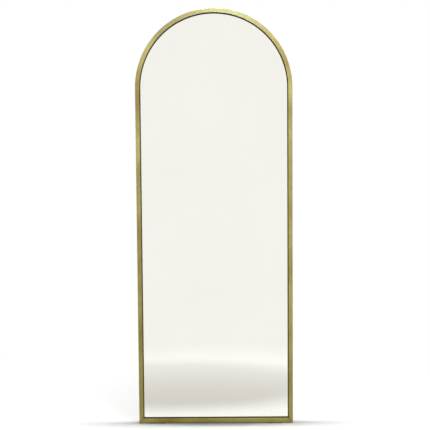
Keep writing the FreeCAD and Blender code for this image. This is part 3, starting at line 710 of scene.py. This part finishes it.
# %% A screw
def screw_rings(head_radius, head_height, shank_radius, bite, head_seat, pitch=1.1 * MM):
    """Rings from the middle of the head over its edge and down the shank to the tip. Head height falls
    off with the fourth power of the radius; recess depth is a soft cross; shank radius follows
    a triangle wave of depth / pitch - turn. The edge value is 1 at the rim and below 0 in the recess."""
    turn = np.linspace(0, 2 * math.pi, 40, endpoint=False)[None, :]
    dome = np.linspace(0.04, 1, 15)[:, None]
    head_r = dome * head_radius
    head_y = head_seat + head_height * (1 - 0.5 * dome**4)
    x, z = head_r * np.cos(turn), head_r * np.sin(turn)
    arm, reach = 0.12 * head_radius, 0.56 * head_radius
    def soft_arm(lengthwise, sideways):
        inside = np.clip((arm * 1.6 - np.abs(sideways)) / arm, 0, 1)
        return inside * np.clip((reach - np.abs(lengthwise)) / (0.5 * arm), 0, 1)
    cross = np.maximum(soft_arm(x, z), soft_arm(z, x))
    head_y = head_y - 0.62 * head_height * cross
    wall_y = np.linspace(0.42, 0, 4)[:, None] * head_height + head_seat
    wall_r = np.full_like(wall_y, head_radius)
    wall_r[-1] -= 0.08 * head_radius
    share = np.linspace(0, 1, 42)[:, None]
    shank_y = head_seat - share * (head_seat - (FRAME_DEPTH - bite))
    ridge = np.abs(((shank_y / pitch - turn / (2 * math.pi)) % 1) - 0.5) * 2
    taper = np.clip((1 - share) / 0.18, 0.15, 1)
    shank_r = shank_radius * (0.78 + 0.22 * ridge) * taper
    radius = np.concatenate([np.broadcast_to(r, (len(r), turn.size)) for r in (head_r, wall_r, shank_r)])
    depth = np.concatenate([np.broadcast_to(y, (len(y), turn.size)) for y in (head_y, wall_y, shank_y)])
    rings = np.stack([radius * np.cos(turn), depth, radius * np.sin(turn)], -1)
    rim = np.exp(-(((1 - dome) / 0.12) ** 2)) - cross
    below = np.full((len(wall_y) + len(share), turn.size), 0.25)
    return rings, np.concatenate([rim, below])


# %% All screws
dice = np.random.default_rng(7)


def screws(name, seats, centre, seat_depth, head_radius, head_height, shank_radius, bite):
    """One screw at each seat, each turned to its own angle."""
    rings, edge = screw_rings(head_radius, head_height, shank_radius, bite, seat_depth)
    rings = rings + (centre, 0, 0)
    spins = dice.uniform(0, math.pi, len(seats))
    copies = [skin(one, edge) for one in seated(rings, seats, spins, centre)]
    make_piece(name + "_cross_head", copies, [screw_zinc], [name])


BRACE_HOLE = 38 * MM  # from the frame's outer corner to a brace's screw
brace_seats = [on_stile(side, BRACE_HOLE) for side in (-1, 1)]
brace_seats += [on_rail(side * (HALF_WIDTH - BRACE_HOLE)) for side in (-1, 1)]
slot_screw = (2.9 * MM, 1.9 * MM, 1.6 * MM, 7 * MM)  # head radius and height, shank radius, bite
screws("brace_screws", brace_seats, SLOT_CENTRE, FRAME_DEPTH + BRACE_THICKNESS, *slot_screw)
screws("retainer_screws", clip_seats, SLOT_CENTRE, FRAME_DEPTH + PLATE_THICKNESS, *slot_screw)

HANGER_X, HANGER_Z = 230 * MM, SPRING - 60 * MM  # the ring's axis
STRAP_HALF, STRAP_THICKNESS = 7 * MM, 1.5 * MM
STRAP_HOLES = (29.4 * MM, 48.4 * MM)  # below the ring's axis
board_screw = (3.4 * MM, 2.1 * MM, 1.75 * MM, 6.5 * MM)
hole_seats = [((side * HANGER_X, FRONT, HANGER_Z - drop), 0) for side in (-1, 1) for drop in STRAP_HOLES]
screws("hanger_screws", hole_seats, 0.0, FRAME_DEPTH + STRAP_THICKNESS, *board_screw)

# %% [markdown]
# ## Ring hangers
# Each strap is flat steel, screwed to the board and rolled round the straight bar of its ring. A flat
# strip could be bent by a modifier, but the roll has to leave the board exactly at the bar. So the
# strip's section is carried up the board and then round more than three quarters of a turn. The ring is
# a triangle stamped from sheet: its outline is carried inward, with eased edges. It rides on a body of
# its own.

# %% Straps
EYE_AXIS = 3.383 * MM  # the ring's axis, off the board
STRAP_LOW = 55.4 * MM  # the strap's lower end, below the ring's axis
STRAP_CUT = 4 * MM  # its clipped corners
EYE_WRAP = 285  # degrees that the strap is rolled round the ring's bar


def strap_rings():
    """Section corners (across, out) carried along the strip. Straight part: up the board. Roll: a
    circle about the ring's axis through EYE_WRAP degrees, so a point at distance out from the strip's
    back lies at EYE_AXIS minus out from the axis. The lower end narrows by what is left of its clip."""
    strip, strip_edge = rounded(
        [(-STRAP_HALF, 0), (STRAP_HALF, 0), (STRAP_HALF, STRAP_THICKNESS), (-STRAP_HALF, STRAP_THICKNESS)],
        0.35 * MM, 4,
    )
    clipped = np.r_[0, 0.4, 1.4, 2.4, 3.4] * MM - STRAP_LOW
    rise = np.r_[clipped, STRAP_CUT - STRAP_LOW, np.linspace(-50, -2, 14) * MM]
    narrow = np.clip(STRAP_CUT - STRAP_LOW - rise, 0, None)
    turn = np.radians(np.linspace(0, EYE_WRAP, 58))
    across = strip[None, :, 0] * (1 - narrow[:, None] / STRAP_HALF)
    flat = np.stack(np.broadcast_arrays(across, strip[None, :, 1], rise[:, None]), -1)
    radius = EYE_AXIS - strip[None, :, 1]
    out, up = EYE_AXIS - radius * np.cos(turn[:, None]), radius * np.sin(turn[:, None])
    roll = np.stack(np.broadcast_arrays(strip[None, :, 0], out, up), -1)
    rings = np.concatenate([flat, roll])
    return rings, np.broadcast_to(strip_edge, rings.shape[:2])


# %% Rings
def ring_rings():
    """A triangle with round corners; each ring of the skin is the outline moved inward by the section's
    across value and out by its depth value."""
    half, drop, band, thick = 15 * MM, 24 * MM, 3 * MM, 2 * MM
    line, _ = rounded([(-half, band / 2), (half, band / 2), (0, -drop)], 4 * MM, 14)
    wire, wire_edge = rounded([(0, 0), (band, 0), (band, thick), (0, thick)], 0.6 * MM, 5)
    rings = np.stack([np.insert(inset_line(line, across), 1, depth, axis=1) for across, depth in wire])
    rings[..., 1] += EYE_AXIS - thick / 2
    return rings.swapaxes(0, 1), wire_edge[None, :]


strap, strap_edge = strap_rings()
ring, ring_edge = ring_rings()
for side, hand in ((-1, "left"), (1, "right")):
    hanger_at = np.array([side * HANGER_X, BACK, HANGER_Z])
    strap_skin = skin(strap + hanger_at, strap_edge)
    make_piece("strap_" + hand, [strap_skin], [zinc], ["hanger_strap_" + hand])
    make_piece(
        "triangle_ring_" + hand, [skin(ring + hanger_at, ring_edge, loop=True)], [zinc],
        ["hanger_ring_" + hand], body="ring_" + hand,
    )

# %% [markdown]
# ## Rubber
# Bumpers keep the mirror off the wall and two pads keep it off the floor. Both are soft black rubber
# with rounded edges; the pads are cut from a ribbed strip. A bumper is a square stacked in shrinking
# levels and a pad is its ribbed section carried along, so the ribs are real and not only bump.

# %% Rubber finish
rubber, tree, shader, place = start_finish("black rubber", Specular_IOR_Level=0.35)
pores = put(tree, "TexNoise", {"Vector": place, "Scale": 1400.0, "Detail": 4.0}).outputs[0]
slow = use(tree, clouds_effect, Place=place, Size=0.012)["Tone"]
settled = use(tree, dust_effect, Place=place, Amount=0.5)["Mask"]
black = mix_colours(tree, slow, (0.018, 0.018, 0.019), (0.032, 0.031, 0.031))
black = mix_colours(tree, settled, black, (0.30, 0.29, 0.27))
finish_surface(tree, shader, black, between(tree, pores, 0.5, 0.78), bump(tree, pores, 0.0002, 0.35))

# %% Bumpers
# The sides lean in evenly over the height and the top goes over in a quarter round.
BUMPER_HALF = 10.0  # in millimetres, as the two lists below are
rise = np.r_[0, 0.5, np.linspace(1, 6.6, 6), 7.2, 7.65, 7.9, 8.0]
shrink = np.r_[0.25, 0, np.linspace(0.1, 1.35, 6), 1.62, 2.0, 2.6, 3.4]
square, _ = rounded(np.array([(-1, -1), (1, -1), (1, 1), (-1, 1)]) * BUMPER_HALF, 3.0, 8)
levels = [
    np.insert(square * MM * (1 - less / BUMPER_HALF), 1, FRAME_DEPTH + up * MM, axis=1)
    for less, up in zip(shrink, rise)
]
BUMPER_INSET = BOARD_INSET + 20 * MM  # from the frame's side to the bumper's middle
stop = np.stack(levels) + (BUMPER_INSET, 0, 0)
stop_edge = np.r_[0.3, 0.2, np.zeros(6), 0.4, 1, 0.6, 0.2][:, None]
bumper_seats = [on_arch(70), on_arch(110), on_stile(-1, 95 * MM), on_stile(1, 95 * MM)]
stops = [skin(one, stop_edge) for one in seated(stop, bumper_seats)]
make_piece("bumpers", stops, [rubber], ["wall_bumpers"])

# %% Pads
# The underside is a cosine of the depth, one rib every 2 mm, and lifts in a quarter round at both sides.
PAD_HALF, PAD_THICKNESS = 12.0, 2.5  # in millimetres, as the section is
PAD_CENTRE = (FRONT + BACK) / 2 / MM  # under the middle of the frame's depth
PAD_NEAR, PAD_FAR = 200.0, 260.0  # from the middle of the mirror to the pad's ends
across_strip = np.linspace(-PAD_HALF, PAD_HALF, 97)
ribs = 0.28 * (0.5 - 0.5 * np.cos(2 * math.pi * across_strip / 2.0))
into_round = np.clip(np.abs(across_strip) - (PAD_HALF - 0.4), 0, None) / 0.4
lift = 0.35 * (1 - np.sqrt(np.clip(1 - into_round**2, 0, 1)))
under = np.stack([across_strip, ribs + lift], -1)
over = np.array([(PAD_HALF, 2.3), (PAD_HALF - 0.2, 2.5), (0.2 - PAD_HALF, 2.5), (-PAD_HALF, 2.3)])
middle = np.array([0, PAD_THICKNESS / 2])
around_middle = np.concatenate([under, over]) - middle
ends = np.r_[PAD_NEAR, PAD_NEAR + 0.3, np.linspace(203, 257, 10), PAD_FAR - 0.3, PAD_FAR]
pull = np.r_[0.3, 0, np.zeros(10), 0, 0.3]  # the cut ends are a little smaller
for side, hand in ((-1, "left"), (1, "right")):
    rings = [
        np.insert(middle + around_middle * (1 - less / PAD_HALF) + (PAD_CENTRE, 0), 0, side * x, axis=1) * MM
        for less, x in zip(pull, ends)
    ]
    make_piece("pad_" + hand, [skin(np.stack(rings))], [rubber], ["foot_pad_" + hand])

# %% [markdown]
# ## Pieces inside
# Film, foam, rubber blocks and the cast corner keys keep their CAD shapes, which are right as they
# are, and get their own finishes. The tape is made again, because its inner edge shows: it is squeezed
# a little past the frame's lip and draws a thin, dark brown line round the glass, a dark strip that
# paints the shade inside the lip.

# %% Foam tape finish
tape, tree, shader, place = start_finish("foam tape", Specular_IOR_Level=0.12)
cells = put(tree, "TexVoronoi", {"Vector": place, "Scale": 1800.0}, feature="F1").outputs["Distance"]
# The tape's dark brown, where it shows past the lip, is painted shade.
brown = mix_colours(tree, cells, (0.072, 0.054, 0.024), (0.115, 0.088, 0.040))
finish_surface(tree, shader, brown, between(tree, cells, 0.7, 0.92), bump(tree, cells, 0.0002, 0.5))

# %% Tape
# The section's inner side bulges by half a sine of the way from the glass to the web.
TAPE_THICKNESS = 1.2 * MM
SHADE_LINE_PAST_LIP = 2.8 * MM  # how far the tape shows past the lip, as a painted shade line
bulge = np.sin(np.linspace(0, math.pi, 7)) * 0.35 * MM
tape_inset = np.r_[[GLASS_INSET] * 3, FACE_WIDTH + SHADE_LINE_PAST_LIP + bulge]
outer_depth = np.array([0.1 * MM, TAPE_THICKNESS / 2, TAPE_THICKNESS - 0.1 * MM])
inner_depth = np.linspace(TAPE_THICKNESS - 0.06 * MM, 0.06 * MM, 7)
tape_depth = REVEAL + np.r_[outer_depth, inner_depth]
loop = [np.insert(arch_outline(i, 2 * MM), 1, FRONT + d, axis=1) for i, d in zip(tape_inset, tape_depth)]
seal = skin(np.stack(loop).swapaxes(0, 1), loop=True)
make_piece("glazing_seal", [seal], [tape], ["glazing_tape"])

# %% Film and foam
film, tree, shader, place = start_finish("safety film", Coat_Roughness=0.1)
scrim = put(tree, "TexWave", {"Vector": place, "Scale": 160.0, "Distortion": 0.6, "Detail": 2.0})
scrim = scrim.outputs["Fac"]
slow = use(tree, clouds_effect, Place=place, Size=0.2)["Tone"]
weave = tint(tree, scrim, 0.5, (0.42, 0.47, 0.50), (0.55, 0.60, 0.62))
weave = tint(tree, slow, 0.3, weave, (0.36, 0.40, 0.44))
finish_surface(tree, shader, weave, between(tree, scrim, 0.28, 0.42), bump(tree, scrim, 0.0001, 0.3))

foam, tree, shader, place = start_finish("packing foam", Specular_IOR_Level=0.2)
cells = put(tree, "TexVoronoi", {"Vector": place, "Scale": 700.0}, feature="F1").outputs["Distance"]
white = mix_colours(tree, cells, (0.62, 0.62, 0.60), (0.82, 0.82, 0.80))
finish_surface(tree, shader, white, between(tree, cells, 0.8, 0.95), bump(tree, cells, 0.0004, 0.5))

# %% Give the CAD pieces their finishes
kept = {
    "safety_film": film, "foam_sheet": foam, "setting_blocks": rubber,
    "edge_spacers": rubber, "corner_key_left": cast_zinc, "corner_key_right": cast_zinc,
}
for name, finish in kept.items():
    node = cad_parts[name]
    node.data.materials.clear()
    node.data.materials.append(finish)
print("kept from the CAD model:", ", ".join(kept))

# %% [markdown]
# ## Studio
# The mirror stands on a plain pale floor, which could be one white plane, but a lit plane ends in a grey
# horizon. So round the mirror the floor is lit as any floor is and keeps the mirror's shadow, and
# further off it goes over to plain white, for the camera and in reflections alike. In front it has a
# soft oval of a deeper tone, which gives the mirror something faint to show. A strip along the foot has
# a painted shadow, darker where little light gets in.

# %% Floor
def oval(tree, place, centre, scale, full, none):
    """1 inside a stretched circle and 0 outside it. Both radii, full and none, count after scaling."""
    squashed = put(tree, "Mapping", {"Vector": place, "Location": centre, "Scale": scale}).outputs[0]
    away = put(tree, "VectorMath", {0: squashed}, operation="LENGTH").outputs[1]
    return sums(tree, "SUBTRACT", 1.0, span(tree, away, (full, none), interpolation_type="SMOOTHSTEP"))


def seen_directly(tree):
    """1 for rays from the camera, and for those that a mirror or glass passes on."""
    rays = put(tree, "LightPath").outputs
    total = sums(tree, "ADD", rays["Is Camera Ray"], rays["Is Glossy Ray"])
    return put(
        tree, "Math", {0: total, 1: rays["Is Transmission Ray"]}, operation="ADD", use_clamp=True
    ).outputs[0]


floor_finish, tree, shader, place = start_finish("pale floor", Roughness=0.9, Specular_IOR_Level=0.1)
deeper = oval(tree, place, (0.2, 1.11, 0), (1.1, 1.79, 1.0), 0.55, 1.0)
# Painted shadow along the mirror's foot.
painted_foot_shadow = sums(tree, "POWER", oval(tree, place, (0, 0.36, 0), (2.3, 18.0, 1.0), 0.2, 1.08), 1.8)
floor_tone_and_painted_shadow = mix_colours(tree, deeper, (0.88, 0.88, 0.88), (0.57, 0.55, 0.535))
floor_tone_and_painted_shadow = tint(tree, painted_foot_shadow, 0.72, floor_tone_and_painted_shadow, (0.22, 0.215, 0.21))
tree.links.new(floor_tone_and_painted_shadow, shader.inputs["Base Color"])

# %% Floor: from lit to plain white
# The veil is the share of plain white. Its glow makes up for what the lit share lacks, so that both
# together come to 1 wherever no shadow falls.
from_foot = put(tree, "VectorMath", {0: place}, operation="LENGTH").outputs[1]
white_far = span(tree, from_foot, (0.4, 1.6), interpolation_type="SMOOTHSTEP")
veil = sums(tree, "MULTIPLY", sums(tree, "MAXIMUM", white_far, 0.02), seen_directly(tree))
floor_lit = span(tree, from_foot, (0.3, 1.6), (0.98, 0.7))
lit_share = sums(tree, "MULTIPLY", sums(tree, "SUBTRACT", 1.0, veil), floor_lit)
strength = sums(tree, "DIVIDE", sums(tree, "SUBTRACT", 1.0, lit_share), sums(tree, "MAXIMUM", veil, 0.01))
glow = put(tree, "Emission", {"Strength": strength}).outputs[0]
mixed = put(tree, "MixShader", {0: veil, 1: shader.outputs[0], 2: glow}).outputs[0]
tree.links.new(mixed, tree.nodes["Material Output"].inputs["Surface"])

floor_mesh = bpy.data.meshes.new("floor")
reach = 30.0  # far past the edge of the plain white
floor_corners = [(x * reach, y * reach, 0) for x, y in ((-1, -1), (1, -1), (1, 1), (-1, 1))]
floor_mesh.from_pydata(floor_corners, [], [(0, 1, 2, 3)])
floor_mesh.materials.append(floor_finish)
floor = bpy.data.objects.new("floor", floor_mesh)
bpy.context.scene.collection.objects.link(floor)

# %% World
world = bpy.data.worlds.new("white room")
bpy.context.scene.world = world
world.use_nodes = True
tree = world.node_tree
# The room looks white and gives less light than that, so that the lamps draw the shapes.
level = between(tree, seen_directly(tree), 0.30, 1.0)
tree.links.new(level, tree.nodes["Background"].inputs["Strength"])
tree.nodes["Background"].inputs["Color"].default_value = (1, 1, 1, 1)


# %% Lamps
# The key lamp and the strip light the right side, the head light and the small light stand just above
# what the mirror shows and brighten the head, and the overhead lamp gives the shadow at the foot.
def softbox(name, at, aim, size, power, colour=(1, 1, 1)):
    """A rectangular lamp at one point, facing another."""
    lamp = bpy.data.lights.new(name, "AREA")
    lamp.shape, lamp.energy, lamp.color = "RECTANGLE", power, colour
    lamp.size, lamp.size_y = size
    holder = bpy.data.objects.new(name, lamp)
    back = np.array(at) - np.array(aim)
    back /= np.linalg.norm(back)
    side = np.cross((0, 0, 1), back)
    side /= np.linalg.norm(side)
    up = np.cross(back, side)
    turned = np.eye(4)
    turned[:3] = np.stack([side, up, back, at], -1)
    holder.matrix_world = Matrix(turned.tolist())
    holder.visible_transmission = False  # the pane shows the room, not the lamps
    bpy.context.scene.collection.objects.link(holder)


softbox("key, upper right", (1.9, -3.0, 2.9), (0.2, 0, 1.2), (1.8, 1.8), 40)
softbox("strip, right", (1.4, -3.0, 0.75), (0.25, 0, 0.6), (0.5, 1.3), 11)
softbox("head light", (0.2, -3.3, 2.38), (0.1, 0, 1.5), (0.6, 0.45), 13, (0.84, 0.93, 1.0))
softbox("small light, left", (-1.3, -3.3, 2.08), (-0.2, 0, 1.4), (0.45, 0.35), 3)
softbox("fill, left", (-3.4, -2.6, 2.0), (0, 0, 0.8), (2.0, 2.6), 10)
softbox("overhead", (0, 0.03, 4.2), (0, 0.04, 0), (0.9, 0.14), 120)
print("lamps:", len(bpy.data.lights))

# %% Camera
# It stands 3.6 m in front at chest height and looks a little down, as the frame's outline in the
# photograph tells.
camera = bpy.data.cameras.new("camera")
camera.lens, camera.sensor_width = 78.19, 36  # both in millimetres
camera.clip_start, camera.clip_end = 0.05, 200
viewer = bpy.data.objects.new("camera", camera)
PITCH, YAW, ROLL = math.radians(4.095), math.radians(-0.404), math.radians(-0.429)
viewer.matrix_world = (
    Matrix.Translation((0.0268, -3.6, 1.0728))
    @ Matrix.Rotation(-YAW, 4, "Z")
    @ Matrix.Rotation(math.pi / 2 - PITCH, 4, "X")
    @ Matrix.Rotation(ROLL, 4, "Z")
)
bpy.context.scene.collection.objects.link(viewer)
bpy.context.scene.camera = viewer
bpy.context.scene.view_settings.view_transform = "Standard"
print("camera at", tuple(round(value, 3) for value in viewer.matrix_world.translation))
